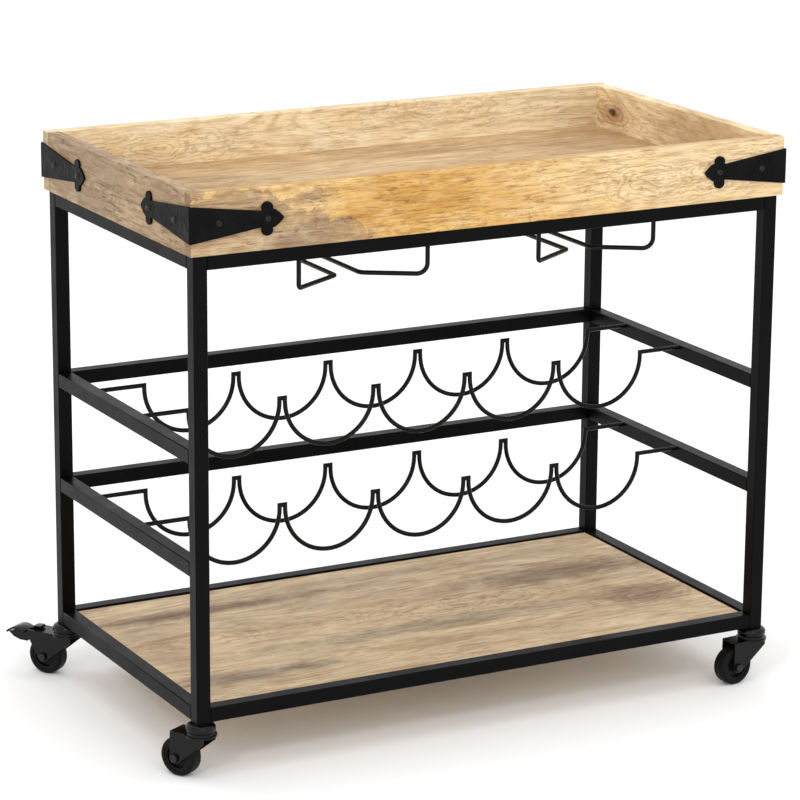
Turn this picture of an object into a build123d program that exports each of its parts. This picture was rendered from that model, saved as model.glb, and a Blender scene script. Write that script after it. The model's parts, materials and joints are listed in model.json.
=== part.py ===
from build123d import *

import os
from math import cos, radians, sin

# Bar cart on four swivel casters: welded square-tube frame, wooden tray, wooden shelf,
# two levels of wire bottle cradles and two hanging racks for stemmed glasses.
#
# Millimetres. X runs along the cart to the right, Y to the rear and Z up. The origin is on the
# floor, under the middle of the cart.

os.makedirs("parts", exist_ok=True)

# Frame of welded square tube
FRAME_LENGTH = 840.0
FRAME_DEPTH = 450.0
FRAME_HEIGHT = 597.0
TUBE = 19.0
TUBE_WALL = 1.5
TUBE_CORNER = 1.2
UPPER_RACK_RISE = 352.0
LOWER_RACK_RISE = 208.0
BOTTOM_RAIL_RISE = 20.5

# Wooden tray and shelf
TRAY_OVERHANG = 5.0
TRAY_HEIGHT = 78.0
TRAY_BOARD = 17.0
TRAY_PANEL = 20.0
RIM_ROUNDING = 1.5
SHELF_PANEL = 14.0
SHELF_GAP = 1.5
SHELF_DROP = 2.5
SHELF_CHAMFER = 0.8

# Welded tabs and the screws that go up through them
TAB_REACH = 20.0
TAB_WIDTH = 30.0
TAB_THICKNESS = 2.5
TAB_SPACING = 270.0
TAB_SCREW_RADIUS = 2.0
TAB_SCREW_HEAD = 3.6
TAB_SCREW_HEAD_HEIGHT = 2.2
TAB_SCREW_DEPTH = 10.0

# Forged corner straps, measured from the tray's corner along each arm
STRAP_THICKNESS = 3.0
STRAP_ROOT = 45.5
STRAP_NECK = 20.5
STRAP_FRONT_ARM = 123.0
STRAP_SIDE_ARM = 141.0
STRAP_HEAD = 32.0
STRAP_HEAD_BASE = 22.8
STRAP_BASE_REACH = 13.5
STRAP_POINT_REACH = 6.0
STRAP_POINT_HALF = 6.4
STRAP_LOBE_LENGTH = 7.5
STRAP_LOBE_HEIGHT = 7.0
STRAP_LOBE_PLACE = 9.5
STRAP_LOBE_OFFSET = 14.0
STRAP_BEND = 2.5
STRAP_SCREW_RADIUS = 1.75
STRAP_SCREW_HEAD = 4.2
STRAP_SCREW_HEAD_HEIGHT = 2.2
STRAP_SCREW_HEAD_SLOPE = 30
STRAP_SCREW_DEPTH = 12.0
FRONT_SCREWS = (36.0, 101.0)
SIDE_SCREWS = (42.0, 119.0)

# Bent wire: bottle cradles and glass racks
WIRE_RADIUS = 3.0
CRADLES = 5
CRADLE_PITCH = 137.0
CRADLE_RADIUS = 64.5
CREST_RISE = 4.5
CRADLE_FRONT_Y = -29.0
CRADLE_REAR_Y = 110.0
RACK_DROP = 37.0
RACK_THROAT = 35.0
RACK_FLARE = 44.0
RACK_BENDS = (5.0, 14.0)
GLASS_RACKS = {
    "stemware_rack_left": (-274.0, -95.0),
    "stemware_rack_right": (65.0, 236.0),
}

# Swivel casters
CASTER_HEIGHT = 75.0
WHEEL_RADIUS = 25.5
WHEEL_WIDTH = 20.0
TRAIL = 31.0
AXLE_RADIUS = 4.0
RUNNING_CLEARANCE = 0.06
HUB_RADIUS = 18.5
HUB_RECESS_RADIUS = 15.5
HUB_BOSS_RADIUS = 8.0
HUB_BOSS_WIDTH = 22.0
HUB_WEB = 8.0
RIM_INSET = 1.0
TREAD_ROUNDING = 4.0
CHEEK_GAP = 24.0
CHEEK_THICKNESS = 2.0
CROWN_TOP = 60.5
CROWN_THICKNESS = 2.5
CHEEK_DEPTH = 9.0
CROWN_RADIUS = 20.5
RACE_RADIUS = 18.0
RACE_TOP = 64.3
HEAD_RADIUS = 19.0
HEAD_BOTTOM = 65.7
HEAD_SHOULDER = 70.5
HEAD_DOME = (17.6, 72.9)
COLLAR_HEIGHT = 1.0
BALL_CIRCLE = 12.5
BALL_RADIUS = 2.0
BALLS = 12
GROOVE_RADIUS = 2.1
KINGPIN_RADIUS = 4.0
KINGPIN_HEAD = 6.5
KINGPIN_HEAD_HEIGHT = 2.4
KINGPIN_HEAD_GAP = 0.4
STEM_RADIUS = 5.0
STEM_LENGTH = 25.0
PLUG_LENGTH = 18.0
HEX_RADIUS = 5.8
BOLT_HEAD = 3.5
NUT = 4.0
BOLT_END = 2.0
HOOD_END = 38.0
BRAKED_HOOD_END = 46.0
BRAKED_CHEEK_END = 55.0
CHEEK_BACK = 13.0

# Foot brake on the rear casters, in the caster's own length and height
PEDAL_PIVOT = (50.0, 53.0)
PEDAL_PIN_RADIUS = 2.0
PEDAL_BARREL_RADIUS = 4.4
PEDAL_WIDTH = 20.0
PEDAL_PLATE = 2.0
PEDAL_SIDE = (
    (50.0, 57.4),
    (63.0, 54.5),
    (75.0, 57.4),
    (88.0, 51.6),
    (80.0, 45.5),
    (70.0, 42.5),
    (58.0, 42.5),
    (50.0, 48.6),
)
TREAD_WIDTH = 26.0
TREAD_UNDER = ((62.0, 54.0), (75.0, 57.4), (89.0, 50.8))
TREAD_OVER = ((91.0, 52.4), (75.5, 59.8), (62.0, 56.4))
RELEASE_WIDTH = 12.0
RELEASE_TAB = (
    (47.2, 54.0),
    (47.2, 61.6),
    (39.0, 61.6),
    (39.0, 65.4),
    (50.0, 64.6),
    (52.8, 54.0),
)
CAM_RADIUS = 2.0
CAM_REACH = 5.5
CAM_ANGLE = -104.0

# Levels and half sizes that follow from them
LEG_BOTTOM = CASTER_HEIGHT
FRAME_TOP = LEG_BOTTOM + FRAME_HEIGHT
STRAP_LEVEL = FRAME_TOP + TRAY_HEIGHT / 2
SHELF_TOP = LEG_BOTTOM + BOTTOM_RAIL_RISE - SHELF_DROP
LEG_X = (FRAME_LENGTH - TUBE) / 2
LEG_Y = (FRAME_DEPTH - TUBE) / 2
INNER_X = FRAME_LENGTH / 2 - TUBE
INNER_Y = FRAME_DEPTH / 2 - TUBE
TRAY_X = FRAME_LENGTH / 2 + TRAY_OVERHANG
TRAY_Y = FRAME_DEPTH / 2 + TRAY_OVERHANG
FORK_WIDTH = CHEEK_GAP + 2 * CHEEK_THICKNESS

# Corners: side along X, side along Y, direction that the caster trails in, foot brake
CORNERS = {
    "front_left": (-1, -1, 119.0, False),
    "front_right": (1, -1, 185.0, False),
    "rear_left": (-1, 1, 124.0, True),
    "rear_right": (1, 1, 57.0, True),
}


def save(builder, name):
    """Label a finished piece and write it out."""
    builder.part.label = name
    export_step(builder.part, f"parts/{name}.step")


# ---------------------------------------------------------------- frame


def make_leg(name, x, y):
    """Leg tube with a threaded plug welded into its foot."""
    foot = Plane(origin=(x, y, LEG_BOTTOM))
    inside = TUBE - 2 * TUBE_WALL
    with BuildPart() as leg:
        with BuildSketch(foot):
            RectangleRounded(TUBE, TUBE, TUBE_CORNER)
            Rectangle(inside, inside, mode=Mode.SUBTRACT)
        extrude(amount=FRAME_HEIGHT)
        with BuildSketch(foot):
            Rectangle(inside, inside)
            Circle(STEM_RADIUS, mode=Mode.SUBTRACT)
        extrude(amount=PLUG_LENGTH)
    save(leg, name)


def make_rail(name, start, direction, length):
    """Rail tube that butts between two legs."""
    with BuildPart() as rail:
        with BuildSketch(Plane(origin=start, z_dir=direction)):
            RectangleRounded(TUBE, TUBE, TUBE_CORNER)
            inside = TUBE - 2 * TUBE_WALL
            Rectangle(inside, inside, mode=Mode.SUBTRACT)
        extrude(amount=length)
    save(rail, name)


def make_rail_level(name, top, front):
    """The rails of one level, with their top faces at the given height."""
    middle = top - TUBE / 2
    if front:
        make_rail(f"{name}_front", (-INNER_X, -LEG_Y, middle), (1, 0, 0), 2 * INNER_X)
    make_rail(f"{name}_rear", (-INNER_X, LEG_Y, middle), (1, 0, 0), 2 * INNER_X)
    make_rail(f"{name}_left", (-LEG_X, -INNER_Y, middle), (0, 1, 0), 2 * INNER_Y)
    make_rail(f"{name}_right", (LEG_X, -INNER_Y, middle), (0, 1, 0), 2 * INNER_Y)


for corner, (side_x, side_y, _, _) in CORNERS.items():
    make_leg(f"leg_{corner}", side_x * LEG_X, side_y * LEG_Y)

make_rail_level("top_rail", FRAME_TOP, front=True)
make_rail_level("upper_rack_rail", LEG_BOTTOM + UPPER_RACK_RISE, front=False)
make_rail_level("lower_rack_rail", LEG_BOTTOM + LOWER_RACK_RISE, front=False)
make_rail_level("bottom_rail", LEG_BOTTOM + BOTTOM_RAIL_RISE, front=True)

# ---------------------------------------------------------------- tabs and their screws

TAB_Y = INNER_Y - TAB_REACH / 2
TAB_X = INNER_X - TAB_REACH / 2
LONG_TABS = [(x, y) for x in (-TAB_SPACING, 0, TAB_SPACING) for y in (-TAB_Y, TAB_Y)]
END_TABS = [(-TAB_X, 0), (TAB_X, 0)]
TAB_TOPS = (SHELF_TOP - SHELF_PANEL, FRAME_TOP)

with BuildPart() as mounting_tabs:
    for tab_top in TAB_TOPS:
        with BuildSketch(Plane.XY.offset(tab_top)):
            with Locations(*LONG_TABS):
                Rectangle(TAB_WIDTH, TAB_REACH)
            with Locations(*END_TABS):
                Rectangle(TAB_REACH, TAB_WIDTH)
            with Locations(*LONG_TABS, *END_TABS):
                Circle(TAB_SCREW_RADIUS, mode=Mode.SUBTRACT)
        extrude(amount=-TAB_THICKNESS)
save(mounting_tabs, "mounting_tabs")

with BuildPart() as mounting_screws:
    for tab_top in TAB_TOPS:
        tab_bottom = Plane.XY.offset(tab_top - TAB_THICKNESS)
        with BuildSketch(tab_bottom):
            with Locations(*LONG_TABS, *END_TABS):
                Circle(TAB_SCREW_HEAD)
        extrude(amount=-TAB_SCREW_HEAD_HEIGHT)
        with BuildSketch(tab_bottom):
            with Locations(*LONG_TABS, *END_TABS):
                Circle(TAB_SCREW_RADIUS)
        extrude(amount=TAB_THICKNESS + TAB_SCREW_DEPTH)
save(mounting_screws, "mounting_screws")

# ---------------------------------------------------------------- wooden shelf

with BuildPart() as shelf_panel:
    with BuildSketch(Plane.XY.offset(SHELF_TOP)):
        Rectangle(2 * (INNER_X - SHELF_GAP), 2 * (INNER_Y - SHELF_GAP))
    extrude(amount=-SHELF_PANEL)
    chamfer(shelf_panel.edges().group_by(Axis.Z)[-1], length=SHELF_CHAMFER)
    with BuildSketch(Plane.XY.offset(SHELF_TOP - SHELF_PANEL)):
        with Locations(*LONG_TABS, *END_TABS):
            Circle(TAB_SCREW_RADIUS)
    extrude(amount=TAB_SCREW_DEPTH, mode=Mode.SUBTRACT)
save(shelf_panel, "shelf_panel")

# ---------------------------------------------------------------- wooden tray

def make_tray_board(name, outer_face, length, screw_places):
    """Upright board of the tray, seen square on to its outer face."""
    half = length / 2
    with BuildPart() as board:
        with BuildSketch(outer_face):
            Rectangle(length, TRAY_HEIGHT)
        extrude(amount=-TRAY_BOARD)
        fillet(board.edges().group_by(Axis.Z)[-1], radius=RIM_ROUNDING)
        with BuildSketch(outer_face):
            with Locations(*[(sign * (half - place), 0) for place in screw_places for sign in (-1, 1)]):
                Circle(STRAP_SCREW_RADIUS)
        extrude(amount=-STRAP_SCREW_DEPTH, mode=Mode.SUBTRACT)
    save(board, name)


SIDE_BOARD = 2 * (TRAY_Y - TRAY_BOARD)
SIDE_BOARD_SCREWS = [place - TRAY_BOARD for place in SIDE_SCREWS]

for name, side in (("front", -1), ("rear", 1)):
    face = Plane(origin=(0, side * TRAY_Y, STRAP_LEVEL), x_dir=(1, 0, 0), z_dir=(0, side, 0))
    make_tray_board(f"tray_board_{name}", face, 2 * TRAY_X, FRONT_SCREWS)
for name, side in (("left", -1), ("right", 1)):
    face = Plane(origin=(side * TRAY_X, 0, STRAP_LEVEL), x_dir=(0, 1, 0), z_dir=(side, 0, 0))
    make_tray_board(f"tray_board_{name}", face, SIDE_BOARD, SIDE_BOARD_SCREWS)

with BuildPart() as tray_floor:
    with BuildSketch(Plane.XY.offset(FRAME_TOP)):
        Rectangle(2 * (TRAY_X - TRAY_BOARD), SIDE_BOARD)
    extrude(amount=TRAY_PANEL)
    with BuildSketch(Plane.XY.offset(FRAME_TOP)):
        with Locations(*LONG_TABS, *END_TABS):
            Circle(TAB_SCREW_RADIUS)
    extrude(amount=TAB_SCREW_DEPTH, mode=Mode.SUBTRACT)
save(tray_floor, "tray_floor")

# ---------------------------------------------------------------- forged corner straps


def arm_planes(side_x, side_y):
    """Faces of the tray at one corner, each with its X pointing from the corner along the arm."""
    corner = (side_x * TRAY_X, side_y * TRAY_Y, STRAP_LEVEL)
    front = Plane(origin=corner, x_dir=(-side_x, 0, 0), z_dir=(0, side_y, 0))
    side = Plane(origin=corner, x_dir=(0, -side_y, 0), z_dir=(side_x, 0, 0))
    return front, side


def strap_arm(face, length):
    """Outline of a tapered arm that ends in a pointed head with two round lobes."""
    neck = length - STRAP_HEAD
    base = length - STRAP_BASE_REACH
    point = length - STRAP_POINT_REACH
    half_root, half_neck, half_base = STRAP_ROOT / 2, STRAP_NECK / 2, STRAP_HEAD_BASE / 2
    with BuildSketch(face) as outline:
        with BuildLine():
            Polyline(
                (base, half_base),
                (neck, half_neck),
                (0, half_root),
                (-STRAP_THICKNESS, half_root),
                (-STRAP_THICKNESS, -half_root),
                (0, -half_root),
                (neck, -half_neck),
                (base, -half_base),
            )
            ThreePointArc((base, -half_base), (point, -STRAP_POINT_HALF), (length, 0))
            ThreePointArc((length, 0), (point, STRAP_POINT_HALF), (base, half_base))
        make_face()
        lobe = neck + STRAP_LOBE_PLACE
        with Locations((lobe, STRAP_LOBE_OFFSET), (lobe, -STRAP_LOBE_OFFSET)):
            Ellipse(STRAP_LOBE_LENGTH, STRAP_LOBE_HEIGHT)
    return outline.sketch


def screw_locations(places):
    """Screw places along the middle of an arm."""
    return Locations(*[(place, 0) for place in places])


for corner, (side_x, side_y, _, _) in CORNERS.items():
    front_face, side_face = arm_planes(side_x, side_y)
    with BuildPart() as corner_strap:
        extrude(strap_arm(front_face, STRAP_FRONT_ARM), amount=STRAP_THICKNESS)
        extrude(strap_arm(side_face, STRAP_SIDE_ARM), amount=STRAP_THICKNESS)
        bend = corner_strap.edges().filter_by(Axis.Z).sort_by_distance((0, 0, STRAP_LEVEL))[-1]
        fillet(bend, radius=STRAP_BEND)
        for face, places in ((front_face, FRONT_SCREWS), (side_face, SIDE_SCREWS)):
            with BuildSketch(face):
                with screw_locations(places):
                    Circle(STRAP_SCREW_RADIUS)
            extrude(amount=STRAP_THICKNESS, mode=Mode.SUBTRACT)
    save(corner_strap, f"corner_strap_{corner}")

with BuildPart() as strap_screws:
    for side_x, side_y, _, _ in CORNERS.values():
        front_face, side_face = arm_planes(side_x, side_y)
        for face, places in ((front_face, FRONT_SCREWS), (side_face, SIDE_SCREWS)):
            with BuildSketch(face.offset(STRAP_THICKNESS)):
                with screw_locations(places):
                    Circle(STRAP_SCREW_HEAD)
            extrude(amount=STRAP_SCREW_HEAD_HEIGHT, taper=STRAP_SCREW_HEAD_SLOPE)
            with BuildSketch(face.offset(STRAP_THICKNESS)):
                with screw_locations(places):
                    Circle(STRAP_SCREW_RADIUS)
            extrude(amount=-STRAP_THICKNESS - STRAP_SCREW_DEPTH)
save(strap_screws, "strap_screws")

# ---------------------------------------------------------------- wire bottle cradles


def make_cradle_wire(name, y, rail_top):
    """Wire of half-round cradles, with a narrow flat-topped crest between each pair."""
    level = rail_top - WIRE_RADIUS
    centre_level = level - CREST_RISE
    first = -(CRADLES - 1) / 2 * CRADLE_PITCH
    upright = Plane(origin=(0, y, 0), x_dir=(1, 0, 0), z_dir=(0, -1, 0))
    with BuildPart() as wire:
        with BuildLine(upright) as path:
            start = -INNER_X
            for index in range(CRADLES):
                middle = first + index * CRADLE_PITCH
                left, right = middle - CRADLE_RADIUS, middle + CRADLE_RADIUS
                Polyline((start, level), (left, level), (left, centre_level))
                CenterArc((middle, centre_level), CRADLE_RADIUS, 180, 180)
                Line((right, centre_level), (right, level))
                start = right
            Line((start, level), (INNER_X, level))
        with BuildSketch(Plane(origin=(-INNER_X, y, level), z_dir=(1, 0, 0))):
            Circle(WIRE_RADIUS)
        sweep(path=path.wires()[0], transition=Transition.RIGHT)
    save(wire, name)


for row, rise in (("upper", UPPER_RACK_RISE), ("lower", LOWER_RACK_RISE)):
    make_cradle_wire(f"{row}_cradle_wire_front", CRADLE_FRONT_Y, LEG_BOTTOM + rise)
    make_cradle_wire(f"{row}_cradle_wire_rear", CRADLE_REAR_Y, LEG_BOTTOM + rise)

# ---------------------------------------------------------------- hanging racks for stemmed glasses

for name, hanger_places in GLASS_RACKS.items():
    rail_underside = FRAME_TOP - TUBE
    run_level = rail_underside - RACK_DROP
    throat_middle = sum(hanger_places) / 2
    with BuildPart() as glass_rack:
        for hanger_x, side, bend in zip(hanger_places, (-1, 1), RACK_BENDS):
            run_x = throat_middle + side * RACK_THROAT / 2
            with BuildLine() as path:
                FilletPolyline(
                    (hanger_x, -LEG_Y, rail_underside),
                    (hanger_x, -LEG_Y, run_level),
                    (run_x, RACK_FLARE - LEG_Y, run_level),
                    (run_x, LEG_Y, run_level),
                    (run_x, LEG_Y, rail_underside),
                    radius=bend,
                )
            with BuildSketch(Plane(origin=(hanger_x, -LEG_Y, rail_underside), z_dir=(0, 0, -1))):
                Circle(WIRE_RADIUS)
            sweep(path=path.wires()[0])
    save(glass_rack, name)

# ---------------------------------------------------------------- swivel casters


def caster_plane(side_x, side_y, heading):
    """Floor plane under a caster, with its X pointing the way the wheel trails."""
    trail = (cos(radians(heading)), sin(radians(heading)), 0)
    return Plane(origin=(side_x * LEG_X, side_y * LEG_Y, 0), x_dir=trail, z_dir=(0, 0, 1))


def side_view(floor, offset=0.0):
    """Plane through the caster along its trail, with Y up."""
    return Plane(origin=floor.origin, x_dir=floor.x_dir, z_dir=-floor.y_dir).offset(offset)


def make_stem(name, floor):
    """Threaded stem, swivel head, upper ball race and riveted kingpin, in one turned piece."""
    pin_top = CROWN_TOP - CROWN_THICKNESS - KINGPIN_HEAD_GAP
    pin_bottom = pin_top - KINGPIN_HEAD_HEIGHT
    collar = LEG_BOTTOM - COLLAR_HEIGHT
    with BuildPart() as stem:
        with BuildSketch(side_view(floor)):
            with BuildLine():
                Polyline(
                    (TUBE / 2, collar),
                    (TUBE / 2, LEG_BOTTOM),
                    (STEM_RADIUS, LEG_BOTTOM),
                    (STEM_RADIUS, LEG_BOTTOM + STEM_LENGTH),
                    (0, LEG_BOTTOM + STEM_LENGTH),
                    (0, pin_bottom),
                    (KINGPIN_HEAD, pin_bottom),
                    (KINGPIN_HEAD, pin_top),
                    (KINGPIN_RADIUS, pin_top),
                    (KINGPIN_RADIUS, HEAD_BOTTOM),
                    (HEAD_RADIUS, HEAD_BOTTOM),
                    (HEAD_RADIUS, HEAD_SHOULDER),
                )
                ThreePointArc((HEAD_RADIUS, HEAD_SHOULDER), HEAD_DOME, (TUBE / 2, collar))
            make_face()
            with Locations((BALL_CIRCLE, (RACE_TOP + HEAD_BOTTOM) / 2)):
                Circle(GROOVE_RADIUS, mode=Mode.SUBTRACT)
        revolve(axis=Axis(floor.origin, floor.z_dir))
    save(stem, name)


def make_fork(name, floor, braked):
    """Pressed fork: crown, lower ball race and two cheeks, with a brake pin if it has a brake."""
    hood_end = BRAKED_HOOD_END if braked else HOOD_END
    cheek_end = BRAKED_CHEEK_END if braked else HOOD_END
    crown_bottom = CROWN_TOP - CROWN_THICKNESS
    with BuildPart() as fork:
        with BuildSketch(floor.offset(crown_bottom)):
            Circle(CROWN_RADIUS)
            with Locations((hood_end / 2, 0)):
                Rectangle(hood_end, FORK_WIDTH)
        extrude(amount=CROWN_THICKNESS)
        with BuildSketch(floor.offset(CROWN_TOP)):
            Circle(RACE_RADIUS)
        extrude(amount=RACE_TOP - CROWN_TOP)
        for side in (-1, 1):
            with BuildSketch(side_view(floor, side * CHEEK_GAP / 2)):
                with Locations(((cheek_end - CHEEK_BACK) / 2, CROWN_TOP - CHEEK_DEPTH / 2)):
                    Rectangle(cheek_end + CHEEK_BACK, CHEEK_DEPTH)
                with Locations((TRAIL, WHEEL_RADIUS)):
                    Circle(HUB_BOSS_RADIUS)
                make_hull()
            extrude(amount=side * CHEEK_THICKNESS)
        with BuildSketch(side_view(floor, -FORK_WIDTH / 2)):
            with Locations((TRAIL, WHEEL_RADIUS)):
                Circle(AXLE_RADIUS)
        extrude(amount=FORK_WIDTH, mode=Mode.SUBTRACT)
        with BuildSketch(floor.offset(crown_bottom)):
            Circle(KINGPIN_RADIUS + RUNNING_CLEARANCE)
        extrude(amount=RACE_TOP - crown_bottom, mode=Mode.SUBTRACT)
        with BuildSketch(side_view(floor)):
            with Locations((BALL_CIRCLE, (RACE_TOP + HEAD_BOTTOM) / 2)):
                Circle(GROOVE_RADIUS)
        revolve(axis=Axis(floor.origin, floor.z_dir), mode=Mode.SUBTRACT)
        if braked:
            with BuildSketch(side_view(floor, -FORK_WIDTH / 2)):
                with Locations(PEDAL_PIVOT):
                    Circle(PEDAL_PIN_RADIUS)
            extrude(amount=FORK_WIDTH)
    save(fork, name)


def make_axle(name, floor):
    """Axle bolt with a hexagonal head, and its nut as a second solid."""
    with BuildPart() as bolt:
        with BuildSketch(side_view(floor, -FORK_WIDTH / 2)):
            with Locations((TRAIL, WHEEL_RADIUS)):
                Circle(AXLE_RADIUS)
        extrude(amount=FORK_WIDTH + NUT + BOLT_END)
        with BuildSketch(side_view(floor, -FORK_WIDTH / 2)):
            with Locations((TRAIL, WHEEL_RADIUS)):
                RegularPolygon(HEX_RADIUS, 6)
        extrude(amount=-BOLT_HEAD)
    with BuildPart() as nut:
        with BuildSketch(side_view(floor, FORK_WIDTH / 2)):
            with Locations((TRAIL, WHEEL_RADIUS)):
                RegularPolygon(HEX_RADIUS, 6)
                Circle(AXLE_RADIUS, mode=Mode.SUBTRACT)
        extrude(amount=NUT)
    axle_set = Compound([*bolt.part.solids(), *nut.part.solids()])
    axle_set.label = name
    export_step(axle_set, f"parts/{name}.step")


def axle_line(floor):
    """Centre line of the wheel."""
    return Axis(floor.from_local_coords((TRAIL, 0, WHEEL_RADIUS)), floor.y_dir)


def make_hub(name, floor):
    """Plastic hub: boss, web and rim."""
    bore = AXLE_RADIUS + RUNNING_CLEARANCE
    rim_half = WHEEL_WIDTH / 2 - RIM_INSET
    half_profile = (
        (bore, HUB_BOSS_WIDTH / 2),
        (HUB_BOSS_RADIUS, HUB_BOSS_WIDTH / 2),
        (HUB_BOSS_RADIUS, HUB_WEB / 2),
        (HUB_RECESS_RADIUS, HUB_WEB / 2),
        (HUB_RECESS_RADIUS, rim_half),
        (HUB_RADIUS, rim_half),
    )
    outline = [(TRAIL + r, w) for r, w in half_profile]
    outline += [(TRAIL + r, -w) for r, w in reversed(half_profile)]
    with BuildPart() as hub:
        with BuildSketch(floor.offset(WHEEL_RADIUS)):
            with BuildLine():
                Polyline(*outline, close=True)
            make_face()
        revolve(axis=axle_line(floor))
    save(hub, name)


def make_tyre(name, floor):
    """Solid tyre with a rounded tread."""
    thickness = WHEEL_RADIUS - HUB_RADIUS
    with BuildPart() as tyre:
        with BuildSketch(floor.offset(WHEEL_RADIUS)) as section:
            with Locations((TRAIL + HUB_RADIUS + thickness / 2, 0)):
                Rectangle(thickness, WHEEL_WIDTH)
            fillet(section.vertices().sort_by(Axis.X)[-2:], radius=TREAD_ROUNDING)
        revolve(axis=axle_line(floor))
    save(tyre, name)


def make_pedal(name, floor):
    """Brake pedal: barrel with a cam over the tyre, two side plates, an arched tread and a release tab."""
    pivot_x, pivot_z = PEDAL_PIVOT
    cam = (pivot_x + CAM_REACH * cos(radians(CAM_ANGLE)), pivot_z + CAM_REACH * sin(radians(CAM_ANGLE)))
    with BuildPart() as pedal:
        with BuildSketch(side_view(floor, -PEDAL_WIDTH / 2)):
            with Locations(PEDAL_PIVOT):
                Circle(PEDAL_BARREL_RADIUS)
            with Locations(cam):
                Circle(CAM_RADIUS)
        extrude(amount=PEDAL_WIDTH)
        for start in (-PEDAL_WIDTH / 2, PEDAL_WIDTH / 2 - PEDAL_PLATE):
            with BuildSketch(side_view(floor, start)):
                with BuildLine():
                    Polyline(*PEDAL_SIDE, close=True)
                make_face()
            extrude(amount=PEDAL_PLATE)
        with BuildSketch(side_view(floor, -TREAD_WIDTH / 2)):
            with BuildLine():
                ThreePointArc(*TREAD_UNDER)
                Line(TREAD_UNDER[-1], TREAD_OVER[0])
                ThreePointArc(*TREAD_OVER)
                Line(TREAD_OVER[-1], TREAD_UNDER[0])
            make_face()
        extrude(amount=TREAD_WIDTH)
        with BuildSketch(side_view(floor, -RELEASE_WIDTH / 2)):
            with BuildLine():
                Polyline(*RELEASE_TAB, close=True)
            make_face()
        extrude(amount=RELEASE_WIDTH)
        with BuildSketch(side_view(floor, -PEDAL_WIDTH / 2)):
            with Locations(PEDAL_PIVOT):
                Circle(PEDAL_PIN_RADIUS + RUNNING_CLEARANCE)
        extrude(amount=PEDAL_WIDTH, mode=Mode.SUBTRACT)
    save(pedal, name)


for corner, (side_x, side_y, heading, braked) in CORNERS.items():
    floor = caster_plane(side_x, side_y, heading)
    make_stem(f"caster_stem_{corner}", floor)
    make_fork(f"caster_fork_{corner}", floor, braked)
    make_axle(f"caster_axle_{corner}", floor)
    make_hub(f"wheel_hub_{corner}", floor)
    make_tyre(f"wheel_tyre_{corner}", floor)
    if braked:
        make_pedal(f"brake_pedal_{corner}", floor)

with BuildPart() as swivel_balls:
    for side_x, side_y, _, _ in CORNERS.values():
        ball_level = (RACE_TOP + HEAD_BOTTOM) / 2
        with Locations(Plane(origin=(side_x * LEG_X, side_y * LEG_Y, ball_level))):
            with PolarLocations(BALL_CIRCLE, BALLS):
                Sphere(BALL_RADIUS)
save(swivel_balls, "swivel_balls")
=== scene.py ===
import json
import math

import bmesh
import bpy
from mathutils import Matrix, Vector


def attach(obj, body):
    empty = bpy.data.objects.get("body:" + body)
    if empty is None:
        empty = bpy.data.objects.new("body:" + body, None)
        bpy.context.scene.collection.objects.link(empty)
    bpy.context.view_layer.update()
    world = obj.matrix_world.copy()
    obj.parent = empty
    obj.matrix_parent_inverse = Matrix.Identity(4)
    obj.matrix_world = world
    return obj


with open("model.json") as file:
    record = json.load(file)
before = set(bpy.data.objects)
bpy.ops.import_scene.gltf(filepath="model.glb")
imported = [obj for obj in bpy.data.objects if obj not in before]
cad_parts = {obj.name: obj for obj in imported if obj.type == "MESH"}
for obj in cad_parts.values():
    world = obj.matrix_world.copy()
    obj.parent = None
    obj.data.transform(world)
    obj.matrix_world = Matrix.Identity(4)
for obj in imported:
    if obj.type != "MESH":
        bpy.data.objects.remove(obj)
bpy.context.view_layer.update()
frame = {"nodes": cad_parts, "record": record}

# Looks of the bar cart: wood, black steel, soft edges, studio and camera. Metres throughout.

NODES = frame["nodes"]

# The CAD nodes' meshes are split at sharp edges. Corners closer than this are one corner.
JOIN_DISTANCE = 1e-6

# ---------------------------------------------------------------- node helpers


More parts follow.
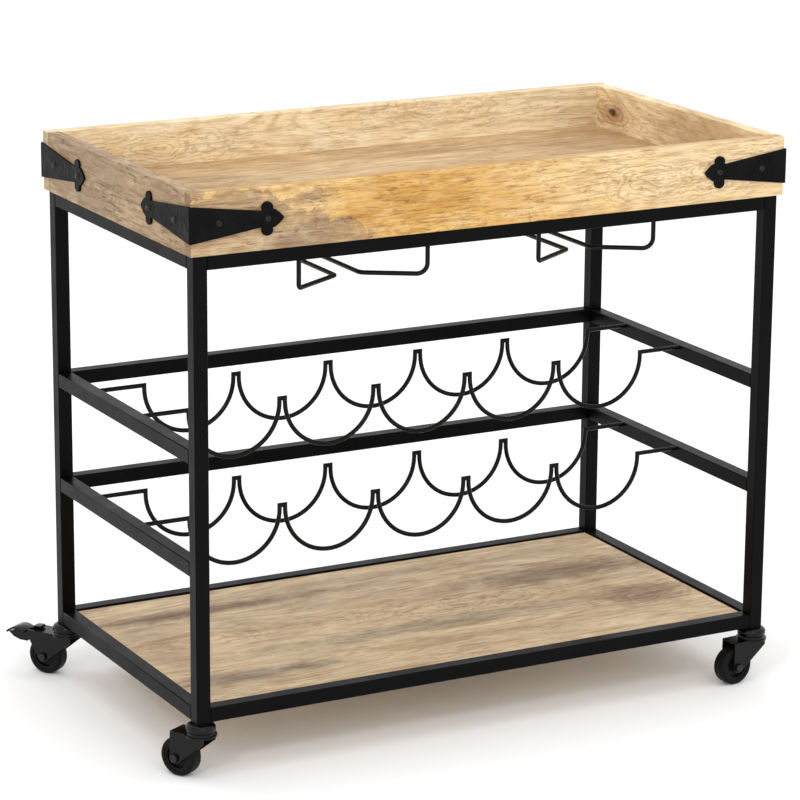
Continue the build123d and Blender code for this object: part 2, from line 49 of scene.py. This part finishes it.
class Nodes:
    """Short calls for building one node tree."""

    def __init__(self, name):
        self.material = bpy.data.materials.new(name)
        self.material.use_nodes = True
        self.tree = self.material.node_tree
        self.tree.nodes.clear()
        self.out = self.add("ShaderNodeOutputMaterial")
        self.shader = self.add("ShaderNodeBsdfPrincipled")
        self.link(self.shader.outputs[0], self.out.inputs[0])

    def add(self, kind, **values):
        node = self.tree.nodes.new(kind)
        for key, value in values.items():
            setattr(node, key, value)
        return node

    def link(self, output, socket):
        self.tree.links.new(output, socket)

    def put(self, socket, value):
        """Join an output to a socket, or set the socket to a constant."""
        if isinstance(value, bpy.types.NodeSocket):
            self.link(value, socket)
        elif socket.type == "RGBA":
            socket.default_value = (*value, 1)
        else:
            socket.default_value = value

    def place(self, scale=(1, 1, 1), shift=(0, 0, 0)):
        """Object coordinates, scaled and then moved."""
        source = self.add("ShaderNodeTexCoord")
        mapping = self.add("ShaderNodeMapping")
        self.link(source.outputs["Object"], mapping.inputs["Vector"])
        mapping.inputs["Scale"].default_value = scale
        mapping.inputs["Location"].default_value = shift
        return mapping.outputs[0]

    def noise(self, place, scale, detail=4.0, rough=0.5, warp=0.0):
        node = self.add("ShaderNodeTexNoise")
        self.put(node.inputs["Vector"], place)
        node.inputs["Scale"].default_value = scale
        node.inputs["Detail"].default_value = detail
        node.inputs["Roughness"].default_value = rough
        node.inputs["Distortion"].default_value = warp
        return node.outputs["Fac"]

    def voronoi(self, place, scale, feature):
        node = self.add("ShaderNodeTexVoronoi", feature=feature)
        self.put(node.inputs["Vector"], place)
        node.inputs["Scale"].default_value = scale
        return node.outputs["Distance"]

    def math(self, operation, a, b=0.0):
        node = self.add("ShaderNodeMath", operation=operation)
        self.put(node.inputs[0], a)
        self.put(node.inputs[1], b)
        return node.outputs[0]

    def span(self, value, low, high, to_low=0.0, to_high=1.0):
        """Map a value from one range to another, held inside it."""
        node = self.add("ShaderNodeMapRange")
        self.put(node.inputs["Value"], value)
        node.inputs["From Min"].default_value = low
        node.inputs["From Max"].default_value = high
        node.inputs["To Min"].default_value = to_low
        node.inputs["To Max"].default_value = to_high
        return node.outputs[0]

    def mix(self, factor, a, b, blend="MIX"):
        """Mix two colours. Sockets 6, 7 and 2 are the node's colour A, colour B and result."""
        node = self.add("ShaderNodeMix", data_type="RGBA", blend_type=blend)
        self.put(node.inputs[0], factor)
        self.put(node.inputs[6], a)
        self.put(node.inputs[7], b)
        return node.outputs[2]

    def bump(self, height, strength, distance):
        node = self.add("ShaderNodeBump")
        node.inputs["Strength"].default_value = strength
        node.inputs["Distance"].default_value = distance
        self.put(node.inputs["Height"], height)
        return node.outputs[0]

    def finish(self, colour, rough, normal=None, **values):
        """Fill the shader's sockets. A further socket's name has _ for each space."""
        self.put(self.shader.inputs["Base Color"], colour)
        self.put(self.shader.inputs["Roughness"], rough)
        if normal is not None:
            self.link(normal, self.shader.inputs["Normal"])
        for key, value in values.items():
            self.shader.inputs[key.replace("_", " ")].default_value = value
        return self.material


# ---------------------------------------------------------------- wood

ALONG_X = 0
ALONG_Y = 1

# Colours shared by all the boards
STRAW = (0.96, 0.80, 0.52)
PORE_SHADE = (0.55, 0.45, 0.38)
END_GRAIN = (0.17, 0.10, 0.06)

# How far one seed, or one plank, shifts the pattern along X, Y and Z
SEED_STEP = (0.73, 0.41, 0.23)
PLANK_STEP = (0.61, 0.0, 0.37)


def stretched(along, share):
    """Scale that draws a pattern out along the grain."""
    scale = [1.0, 1.0, 1.0]
    scale[along] = share
    return tuple(scale)


def distance_from(n, centre, reach):
    """Distance from a point, where the reach along each axis counts as 1. Both are in metres."""
    scale = tuple(1 / r for r in reach)
    place = n.place(scale, tuple(-c / r for c, r in zip(centre, reach)))
    length = n.add("ShaderNodeVectorMath", operation="LENGTH")
    n.link(place, length.inputs[0])
    return length.outputs["Value"]


def tinted_patch(n, colour, centre, reach, tint, strength, edge=0.35, line=0.0):
    """Tint one ragged, soft-edged patch of a board. Most patches are stains in the wood; one is
    painted shade in a corner. Line darkens the patch's rim.
    """
    from_centre = distance_from(n, centre, reach)
    ragged = n.noise(n.place((1.0, 1.0, 1.6)), 26.0, 5.0, 0.62, 0.5)
    distance = n.math("ADD", from_centre, n.span(ragged, 0.25, 0.75, -0.45, 0.45))
    inside = n.span(distance, 1.0 + edge, 1.0 - edge, 0.0, strength)
    colour = n.mix(inside, colour, tint)
    if line:
        rim = n.math("ABSOLUTE", n.math("SUBTRACT", distance, 1.0))
        broken = n.span(n.noise(n.place(), 60.0, 4.0, 0.6), 0.42, 0.62)
        mark = n.math("MULTIPLY", n.span(rim, 0.05, 0.0, 0.0, line), broken)
        colour = n.mix(mark, colour, tuple(0.28 * c for c in tint))
    return colour


def eye(n, colour, dark, centre, reach, strength, count):
    """Draw nested oval growth lines round a point, fading outwards. Count is lines per reach."""
    from_centre = distance_from(n, centre, reach)
    sway = n.noise(n.place((0.6, 0.6, 1.0)), 30.0, 4.0, 0.6, 0.3)
    distance = n.math("ADD", from_centre, n.span(sway, 0.3, 0.7, -0.22, 0.22))
    wave = n.span(n.math("SINE", n.math("MULTIPLY", distance, math.tau * count)), -1.0, 1.0)
    line = n.math("POWER", wave, 3.0)
    worn = n.span(n.noise(n.place(), 110.0, 3.0, 0.6), 0.35, 0.60, 0.35, 1.0)
    fade = n.span(distance, 1.15, 0.55, 0.0, strength)
    return n.mix(n.math("MULTIPLY", n.math("MULTIPLY", line, worn), fade), colour, dark)


def wood(
    name, along, seed, pale, warm, brown,
    rings=0.5, streaks=0.4, pores=0.6, planks=0.0, patches=(), eyes=(), painted_rim_shade=0.0,
):
    """Sawn mango wood with its grain along one axis.

    Pale and warm are the ground colours, and brown darkens them into the figure. Rings, streaks,
    pores and painted_rim_shade are strengths; painted_rim_shade is painted shade on the faces that look up.
    Planks is the width of the planks in a glued-up panel.
    """
    n = Nodes(name)
    across = 1 - along
    source = n.add("ShaderNodeTexCoord").outputs["Object"]
    if planks:
        parts = n.add("ShaderNodeSeparateXYZ")
        n.link(source, parts.inputs[0])
        index = n.math("FLOOR", n.math("DIVIDE", parts.outputs[across], planks))
        moved = n.add("ShaderNodeCombineXYZ")
        for slot, step in enumerate(PLANK_STEP):
            n.link(n.math("MULTIPLY", index, step), moved.inputs[slot])
        add = n.add("ShaderNodeVectorMath", operation="ADD")
        n.link(source, add.inputs[0])
        n.link(moved.outputs[0], add.inputs[1])
        source = add.outputs[0]

    def grain(share, shift=0.0):
        """The board's coordinates, drawn out along the grain and moved by the seed."""
        x, y, z = (seed * step for step in SEED_STEP)
        mapping = n.add("ShaderNodeMapping")
        n.link(source, mapping.inputs["Vector"])
        mapping.inputs["Scale"].default_value = stretched(along, share)
        mapping.inputs["Location"].default_value = (x + shift, y, z - shift)
        return mapping.outputs[0]

    wide_tone = n.noise(grain(0.35), 6.5, 3.0, 0.55, 0.8)
    close_tone = n.noise(grain(0.40, 6.1), 24.0, 4.0, 0.60, 0.9)
    tone = n.math("ADD", n.math("MULTIPLY", wide_tone, 0.5), n.math("MULTIPLY", close_tone, 0.5))

    figure = n.noise(grain(0.20, 3.1), 6.5, 1.5, 0.45, 0.5)
    wander = n.noise(grain(0.5, 1.7), 55.0, 4.0, 0.6)
    phase = n.math("ADD", n.math("MULTIPLY", figure, 170.0), n.math("MULTIPLY", wander, 5.0))
    ring = n.math("POWER", n.span(n.math("SINE", phase), -1.0, 1.0), 3.0)
    broken = n.span(n.noise(grain(0.25, 5.3), 90.0, 4.0, 0.65), 0.40, 0.60, 0.25, 1.0)
    worn = n.span(n.noise(grain(0.4, 5.3), 10.0, 2.0, 0.5), 0.36, 0.56, 0.35, 1.0)
    patchy = n.math("MULTIPLY", worn, broken)

    fibres = n.noise(grain(0.05), 520.0, 3.0, 0.62)
    lines = n.noise(grain(0.10, 0.9), 150.0, 5.0, 0.65, 0.4)
    dashes = n.span(n.noise(grain(0.11, 2.3), 430.0, 3.0, 0.6, 0.4), 0.56, 0.60)
    dotted = n.span(n.noise(grain(0.5, 8.2), 16.0, 3.0, 0.6), 0.40, 0.60, 0.25, 1.0)
    flame = n.noise(grain(0.16, 4.4), 21.0, 4.0, 0.62, 1.1)
    cloud = n.noise(grain(0.45, 7.7), 48.0, 5.0, 0.68, 0.7)

    colour = n.mix(n.span(tone, 0.40, 0.60), pale, warm)
    for patch in patches:
        colour = tinted_patch(n, colour, *patch)
    dark = n.mix(1.0, colour, brown, "MULTIPLY")
    light = n.mix(0.30, colour, STRAW)
    colour = n.mix(n.span(cloud, 0.52, 0.32, 0.0, 0.75), colour, light)
    colour = n.mix(n.span(flame, 0.50, 0.64, 0.0, streaks), colour, dark)
    colour = n.mix(n.math("MULTIPLY", n.math("MULTIPLY", ring, patchy), rings), colour, dark)
    for ovals in eyes:
        colour = eye(n, colour, dark, *ovals)
    colour = n.mix(n.span(lines, 0.53, 0.60, 0.0, 0.42), colour, dark)
    colour = n.mix(n.span(fibres, 0.52, 0.60, 0.0, 0.30), colour, dark)
    deep = n.mix(1.0, dark, PORE_SHADE, "MULTIPLY")
    colour = n.mix(n.math("MULTIPLY", n.math("MULTIPLY", dashes, dotted), pores), colour, deep)

    normal = n.add("ShaderNodeNewGeometry").outputs["Normal"]
    facing = n.add("ShaderNodeSeparateXYZ")
    n.link(normal, facing.inputs[0])
    # Painted shade: faces that look up, such as the tray boards' top edges, are darkened.
    rim = n.span(facing.outputs[2], 0.80, 0.98, 0.0, painted_rim_shade)
    colour = n.mix(rim, colour, dark)
    end_grain = n.span(n.math("ABSOLUTE", facing.outputs[along]), 0.75, 0.95, 0.0, 0.75)
    colour = n.mix(end_grain, colour, n.mix(0.55, dark, END_GRAIN))

    height = n.math("ADD", n.math("MULTIPLY", lines, 0.5), n.math("MULTIPLY", fibres, 0.3))
    height = n.math("SUBTRACT", height, n.math("MULTIPLY", dashes, 0.8))
    rough = n.span(lines, 0.3, 0.7, 0.46, 0.64)
    return n.finish(colour, rough, n.bump(height, 0.25, 0.0005), Specular_IOR_Level=0.3)


# ---------------------------------------------------------------- metals, plastic and rubber


def powder_coat(name, colour, rough, grain=900.0, gloss=0.065):
    """Powder coat or lacquer on steel, with a faint orange peel. Grain is the peel's fineness."""
    n = Nodes(name)
    place = n.place()
    peel = n.noise(place, grain, 2.0, 0.5)
    mottle = n.noise(place, 9.0, 3.0, 0.5)
    shade = n.mix(n.span(mottle, 0.35, 0.65), colour, tuple(1.55 * c for c in colour))
    worn = n.span(n.noise(place, 70.0, 5.0, 0.65), 0.62, 0.80, 0.0, 0.35)
    shade = n.mix(worn, shade, tuple(2.4 * c for c in colour))
    roughness = n.span(n.noise(place, 24.0, 4.0, 0.6), 0.3, 0.7, rough - 0.06, rough + 0.07)
    return n.finish(shade, roughness, n.bump(peel, 0.18, 0.0003), Specular_IOR_Level=gloss)


def forged_iron(name):
    """Hammered black iron: shallow dents under a dull lacquer, with small brown specks."""
    n = Nodes(name)
    place = n.place()
    dents = n.voronoi(place, 130.0, "SMOOTH_F1")
    scale = n.noise(place, 420.0, 5.0, 0.7)
    cloud = n.noise(place, 32.0, 4.0, 0.6)
    shade = n.mix(n.span(cloud, 0.38, 0.66), (0.0020, 0.0020, 0.0022), (0.0050, 0.0048, 0.0047))
    shade = n.mix(n.span(scale, 0.62, 0.80, 0.0, 0.4), shade, (0.020, 0.017, 0.015))
    height = n.math("ADD", dents, n.math("MULTIPLY", scale, 0.22))
    roughness = n.span(cloud, 0.3, 0.7, 0.38, 0.58)
    return n.finish(shade, roughness, n.bump(height, 0.55, 0.0012), Specular_IOR_Level=0.07)


def dark_screw(name):
    """Blackened screw with a little rust showing."""
    n = Nodes(name)
    place = n.place()
    rust = n.span(n.noise(place, 260.0, 4.0, 0.65), 0.50, 0.66)
    shade = n.mix(n.math("MULTIPLY", rust, 0.6), (0.009, 0.008, 0.008), (0.048, 0.030, 0.024))
    return n.finish(shade, n.span(rust, 0, 1, 0.36, 0.66), n.bump(rust, 0.2, 0.0003), Metallic=0.4)


def polished_steel(name):
    """Bright bearing steel with fine rings round the vertical."""
    n = Nodes(name)
    place = n.place((1, 1, 14))
    turned = n.noise(place, 130.0, 3.0, 0.6)
    shade = n.mix(n.span(turned, 0.3, 0.7), (0.52, 0.52, 0.54), (0.70, 0.70, 0.71))
    return n.finish(shade, n.span(turned, 0.3, 0.7, 0.14, 0.30), Metallic=1.0)


def moulded_plastic(name):
    """Black moulded plastic with a fine speckled skin."""
    n = Nodes(name)
    place = n.place()
    speckle = n.noise(place, 1400.0, 2.0, 0.5)
    cloud = n.noise(place, 60.0, 3.0, 0.5)
    shade = n.mix(n.span(cloud, 0.35, 0.65), (0.0035, 0.0035, 0.0038), (0.0065, 0.0065, 0.0068))
    roughness = n.span(cloud, 0.3, 0.7, 0.42, 0.55)
    return n.finish(shade, roughness, n.bump(speckle, 0.25, 0.0003), Specular_IOR_Level=0.15)


def tyre_rubber(name):
    """Black rubber with a little dust."""
    n = Nodes(name)
    place = n.place()
    dust = n.span(n.noise(place, 210.0, 5.0, 0.7), 0.55, 0.75, 0.0, 0.5)
    shade = n.mix(dust, (0.0030, 0.0030, 0.0032), (0.010, 0.0095, 0.009))
    skin = n.noise(place, 900.0, 3.0, 0.6)
    roughness = n.span(dust, 0.0, 0.5, 0.50, 0.72)
    return n.finish(shade, roughness, n.bump(skin, 0.3, 0.0004), Specular_IOR_Level=0.12)


MATERIALS = {
    "frame_steel": powder_coat("frame_powder_coat", (0.0016, 0.0016, 0.0018), 0.36),
    "wire_steel": powder_coat("wire_powder_coat", (0.0022, 0.0022, 0.0024), 0.24, grain=1500.0, gloss=0.14),
    "caster_steel": powder_coat("caster_lacquer", (0.0014, 0.0014, 0.0016), 0.15, grain=700.0, gloss=0.22),
    "forged_iron": forged_iron("forged_iron"),
    "screw_steel": dark_screw("blackened_screw"),
    "bearing_steel": polished_steel("bearing_steel"),
    "wheel_plastic": moulded_plastic("wheel_plastic"),
    "tyre_rubber": tyre_rubber("tyre_rubber"),
}

BROWN = (0.50, 0.36, 0.24)
TAN = (0.56, 0.46, 0.36)
SPALT = (0.30, 0.205, 0.125)

# Where the boards' figured faces lie, in metres
FRONT_Y = -0.23
REAR_Y = 0.213
LEFT_X = -0.425
RIGHT_X = 0.408
TRAY_TOP_Z = 0.692
SHELF_TOP_Z = 0.093

# A reach this long takes a figure right through the board.
THROUGH = 0.3

TRAY_PLANK = 0.142
SHELF_PLANK = 0.137

# An eye is centre, reach, strength and lines per reach.
# A patch is centre, reach, tint, strength and softness, and the strength of its dark rim if it has one.
BOARDS = {
    "tray_board_front": wood(
        "mango_front", ALONG_X, seed=3,
        pale=(0.78, 0.56, 0.26), warm=(0.66, 0.40, 0.12), brown=BROWN,
        rings=0.45, streaks=0.22, pores=0.60, painted_rim_shade=0.35,
        eyes=(
            ((0.25, FRONT_Y, 0.706), (0.15, THROUGH, 0.034), 0.75, 6.0),
            ((-0.08, FRONT_Y, 0.66), (0.20, THROUGH, 0.05), 0.5, 7.0),
        ),
        patches=(
            ((0.34, FRONT_Y, 0.72), (0.24, THROUGH, 0.07), (0.78, 0.62, 0.38), 0.85, 0.6),
            ((-0.14, FRONT_Y, 0.715), (0.13, THROUGH, 0.035), (0.56, 0.30, 0.06), 0.80, 0.5),
            ((-0.39, FRONT_Y, 0.69), (0.15, THROUGH, 0.06), (0.36, 0.245, 0.145), 0.85, 0.18, 0.7),
            ((-0.25, FRONT_Y, 0.672), (0.07, THROUGH, 0.028), SPALT, 0.75, 0.25, 0.8),
            ((0.05, FRONT_Y, 0.665), (0.10, THROUGH, 0.014), (0.62, 0.33, 0.07), 0.70, 0.5),
        ),
    ),
    "tray_board_rear": wood(
        "mango_rear", ALONG_X, seed=7,
        pale=(0.94, 0.82, 0.58), warm=(0.84, 0.64, 0.36), brown=TAN,
        rings=0.60, streaks=0.26, pores=0.40, painted_rim_shade=0.35,
        eyes=(
            ((-0.27, REAR_Y, 0.715), (0.15, THROUGH, 0.036), 0.75, 6.0),
            ((0.16, REAR_Y, 0.75), (0.16, THROUGH, 0.05), 0.6, 6.0),
        ),
        patches=(
            # Painted shadow: soft brown shade in the inner corner by the right board, down at the floor.
            ((0.41, REAR_Y, 0.69), (0.07, THROUGH, 0.06), (0.50, 0.33, 0.19), 0.50, 0.7),
            ((0.30, REAR_Y, 0.74), (0.12, THROUGH, 0.05), (0.90, 0.76, 0.50), 0.5, 0.6),
            ((-0.30, REAR_Y, 0.69), (0.06, THROUGH, 0.02), (0.56, 0.40, 0.23), 0.6, 0.6),
        ),
    ),
    "tray_board_left": wood(
        "mango_left", ALONG_Y, seed=5,
        pale=(0.42, 0.290, 0.155), warm=(0.32, 0.220, 0.125), brown=TAN,
        rings=0.55, streaks=0.25, pores=0.70,
        eyes=(((LEFT_X, 0.03, 0.70), (THROUGH, 0.09, 0.030), 0.7, 5.0),),
        patches=(((LEFT_X, -0.10, 0.70), (THROUGH, 0.08, 0.05), (0.40, 0.27, 0.15), 0.5, 0.6),),
    ),
    "tray_board_right": wood(
        "mango_right", ALONG_Y, seed=11,
        pale=(1.0, 0.84, 0.54), warm=(0.86, 0.66, 0.38), brown=TAN,
        rings=0.55, streaks=0.40, pores=0.50,
        eyes=(((RIGHT_X, 0.165, 0.717), (THROUGH, 0.060, 0.026), 0.8, 4.0),),
        patches=(
            ((RIGHT_X, -0.06, 0.715), (THROUGH, 0.12, 0.05), (0.56, 0.38, 0.20), 0.70, 0.6),
            ((RIGHT_X, 0.165, 0.716), (THROUGH, 0.030, 0.020), (0.42, 0.21, 0.11), 0.75, 0.6),
            ((RIGHT_X, 0.168, 0.718), (THROUGH, 0.008, 0.0045), (0.050, 0.022, 0.014), 0.95, 0.4),
        ),
    ),
    "tray_floor": wood(
        "mango_floor", ALONG_X, seed=13,
        pale=(0.70, 0.50, 0.28), warm=(0.50, 0.34, 0.18), brown=TAN,
        rings=0.60, streaks=0.50, pores=0.45, planks=TRAY_PLANK,
        patches=(
            ((0.36, 0.08, TRAY_TOP_Z), (0.14, 0.12, THROUGH), (0.40, 0.25, 0.12), 0.75, 0.7),
            ((-0.33, 0.08, TRAY_TOP_Z), (0.16, 0.16, THROUGH), (0.44, 0.30, 0.15), 0.75, 0.7),
            ((-0.29, -0.02, TRAY_TOP_Z), (0.02, 0.004, THROUGH), (0.09, 0.055, 0.035), 0.9, 0.5),
        ),
    ),
    "shelf_panel": wood(
        "mango_shelf", ALONG_X, seed=17,
        pale=(0.78, 0.61, 0.39), warm=(0.58, 0.44, 0.275), brown=BROWN,
        rings=0.50, streaks=0.35, pores=0.35, planks=SHELF_PLANK,
        eyes=(
            ((0.07, 0.0, SHELF_TOP_Z), (0.22, 0.055, THROUGH), 0.70, 7.0),
            ((0.32, -0.08, SHELF_TOP_Z), (0.10, 0.040, THROUGH), 0.70, 5.0),
            ((-0.30, 0.02, SHELF_TOP_Z), (0.16, 0.050, THROUGH), 0.45, 5.0),
        ),
        patches=(
            ((0.26, 0.06, SHELF_TOP_Z), (0.15, 0.035, THROUGH), (0.24, 0.155, 0.09), 0.85, 0.5),
            ((0.32, -0.07, SHELF_TOP_Z), (0.06, 0.04, THROUGH), (0.27, 0.15, 0.09), 0.75, 0.5),
            ((-0.24, 0.13, SHELF_TOP_Z), (0.17, 0.018, THROUGH), (0.20, 0.11, 0.065), 0.85, 0.5),
            ((-0.30, -0.13, SHELF_TOP_Z), (0.12, 0.018, THROUGH), (0.21, 0.16, 0.12), 0.80, 0.5),
            ((0.0, -0.06, SHELF_TOP_Z), (0.22, 0.022, THROUGH), (0.34, 0.28, 0.18), 0.75, 0.5),
            ((0.05, 0.16, SHELF_TOP_Z), (0.20, 0.014, THROUGH), (0.34, 0.25, 0.16), 0.60, 0.6),
            ((-0.36, 0.0, SHELF_TOP_Z), (0.04, 0.11, THROUGH), (0.34, 0.22, 0.13), 0.45, 0.7),
        ),
    ),
}

SLOTS = {row["node"]: row["material_slot"] for row in frame["record"]["subparts"]}

for name, node in NODES.items():
    material = BOARDS.get(name) or MATERIALS[SLOTS[name]]
    node.data.materials.clear()
    node.data.materials.append(material)

# ---------------------------------------------------------------- softened edges

BEVEL_SEGMENTS = 2
BEVEL_ANGLE = math.radians(40)

# Starts of node names, and how far their edges are rounded
SOFT_EDGES = (
    (("leg_", "top_rail_", "upper_rack_rail_", "lower_rack_rail_", "bottom_rail_"), 0.0016),
    (("tray_board_", "shelf_panel"), 0.0010),
    (("corner_strap_", "caster_fork_", "brake_pedal_", "caster_stem_"), 0.0005),
)

for prefixes, width in SOFT_EDGES:
    for name, node in NODES.items():
        if name.startswith(prefixes):
            node.modifiers.new("joined_faces", "WELD").merge_threshold = JOIN_DISTANCE
            bevel = node.modifiers.new("soft_edge", "BEVEL")
            bevel.width = width
            bevel.segments = BEVEL_SEGMENTS
            bevel.limit_method = "ANGLE"
            bevel.angle_limit = BEVEL_ANGLE
            bevel.harden_normals = True

# ---------------------------------------------------------------- driver recesses in the strap screws

# Half length and half width of a cross's arm, how deep it sinks and how far it stands out, in metres
RECESS_ARM = 0.0017
RECESS_HALF_WIDTH = 0.00042
RECESS_DEPTH = 0.0003
RECESS_LIP = 0.00001

# How far each cross is turned, in radians
RECESS_TURN = 0.4


def solids_of(node):
    """Corner points of each separate solid in a node."""
    mesh = bmesh.new()
    mesh.from_mesh(node.data)
    bmesh.ops.remove_doubles(mesh, verts=mesh.verts, dist=JOIN_DISTANCE)
    left = set(mesh.verts)
    groups = []
    while left:
        front = [left.pop()]
        group = []
        while front:
            vert = front.pop()
            group.append(node.matrix_world @ vert.co)
            for edge in vert.link_edges:
                other = edge.other_vert(vert)
                if other in left:
                    left.remove(other)
                    front.append(other)
        groups.append(group)
    mesh.free()
    return groups


def add_recesses():
    """Cross recess on the outer end of every strap screw, as one piece."""
    mesh = bmesh.new()
    for points in solids_of(NODES["strap_screws"]):
        low = [min(p[i] for p in points) for i in range(3)]
        high = [max(p[i] for p in points) for i in range(3)]
        middle = Vector([(a + b) / 2 for a, b in zip(low, high)])
        axis = max(range(2), key=lambda i: high[i] - low[i])
        outward = Vector((0, 0, 0))
        outward[axis] = math.copysign(1, middle[axis])
        top = middle + outward * (high[axis] - low[axis]) / 2
        across = Vector((0, 0, 1)).cross(outward)
        for turn in (RECESS_TURN, RECESS_TURN + math.pi / 2):
            along = math.cos(turn) * across + math.sin(turn) * Vector((0, 0, 1))
            beside = outward.cross(along)
            ring = [
                top + outward * RECESS_LIP + along * a * RECESS_ARM + beside * b * RECESS_HALF_WIDTH
                for a, b in ((-1, -1), (1, -1), (1, 1), (-1, 1))
            ]
            face = mesh.faces.new([mesh.verts.new(p) for p in ring])
            sunk = bmesh.ops.extrude_face_region(mesh, geom=[face])["geom"]
            moved = [item for item in sunk if isinstance(item, bmesh.types.BMVert)]
            bmesh.ops.translate(mesh, vec=-outward * RECESS_DEPTH, verts=moved)
    bmesh.ops.recalc_face_normals(mesh, faces=mesh.faces)
    data = bpy.data.meshes.new("strap_screw_recesses")
    mesh.to_mesh(data)
    mesh.free()
    piece = bpy.data.objects.new("strap_screw_recesses", data)
    bpy.context.scene.collection.objects.link(piece)
    return piece


recesses = add_recesses()
recesses.data.materials.append(forged_iron("recess_black"))
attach(recesses, "cart_frame")

# ---------------------------------------------------------------- studio and camera

FLOOR_HALF = 30.0
FLOOR_WHITE = (0.97, 0.97, 0.97)
WORLD_STRENGTH = 1.06

floor_mesh = bpy.data.meshes.new("studio_floor")
corners = [(x * FLOOR_HALF, y * FLOOR_HALF, 0) for x, y in ((-1, -1), (1, -1), (1, 1), (-1, 1))]
floor_mesh.from_pydata(corners, [], [(0, 1, 2, 3)])
floor = bpy.data.objects.new("studio_floor", floor_mesh)
bpy.context.scene.collection.objects.link(floor)
floor.data.materials.append(Nodes("studio_floor").finish(FLOOR_WHITE, 0.95, Specular_IOR_Level=0.0))

bpy.context.scene.view_settings.view_transform = "Standard"
world = bpy.data.worlds.new("studio")
bpy.context.scene.world = world
world.use_nodes = True
world.node_tree.nodes["Background"].inputs["Color"].default_value = (1, 1, 1, 1)
world.node_tree.nodes["Background"].inputs["Strength"].default_value = WORLD_STRENGTH


def soft_light(name, place, target, size, power):
    """Rectangular lamp aimed at a target. Lengths are in metres and power is in watts."""
    light = bpy.data.lights.new(name, "AREA")
    light.shape = "RECTANGLE"
    light.size, light.size_y = size
    light.energy = power
    lamp = bpy.data.objects.new(name, light)
    bpy.context.scene.collection.objects.link(lamp)
    lamp.location = place
    lamp.rotation_euler = (Vector(target) - Vector(place)).to_track_quat("-Z", "Y").to_euler()


MIDDLE = (0, 0, 0.45)
soft_light("key_light", (-0.6, -3.6, 2.6), MIDDLE, (3.0, 2.2), 30)
soft_light("glint_light", (-2.4, -2.2, 2.3), MIDDLE, (0.30, 0.30), 16)
soft_light("top_light", (0.3, 0.2, 3.4), MIDDLE, (3.4, 2.8), 22)

# Fitted to the straight edges of the cart's frame. Angles are in radians, the lens and sensor in mm.
CAMERA_PLACE = (-2.0813, -3.8556, 1.5678)
CAMERA_YAW = 0.49155
CAMERA_PITCH = 0.26268
CAMERA_ROLL = 0.00744
LENS = 153.457
SENSOR_WIDTH = 36

camera_data = bpy.data.cameras.new("camera")
camera_data.lens = LENS
camera_data.sensor_width = SENSOR_WIDTH
camera = bpy.data.objects.new("camera", camera_data)
bpy.context.scene.collection.objects.link(camera)
aim = Matrix.Rotation(-CAMERA_YAW, 4, "Z") @ Matrix.Rotation(math.pi / 2 - CAMERA_PITCH, 4, "X")
camera.matrix_world = Matrix.Translation(CAMERA_PLACE) @ aim @ Matrix.Rotation(CAMERA_ROLL, 4, "Z")
bpy.context.scene.camera = camera
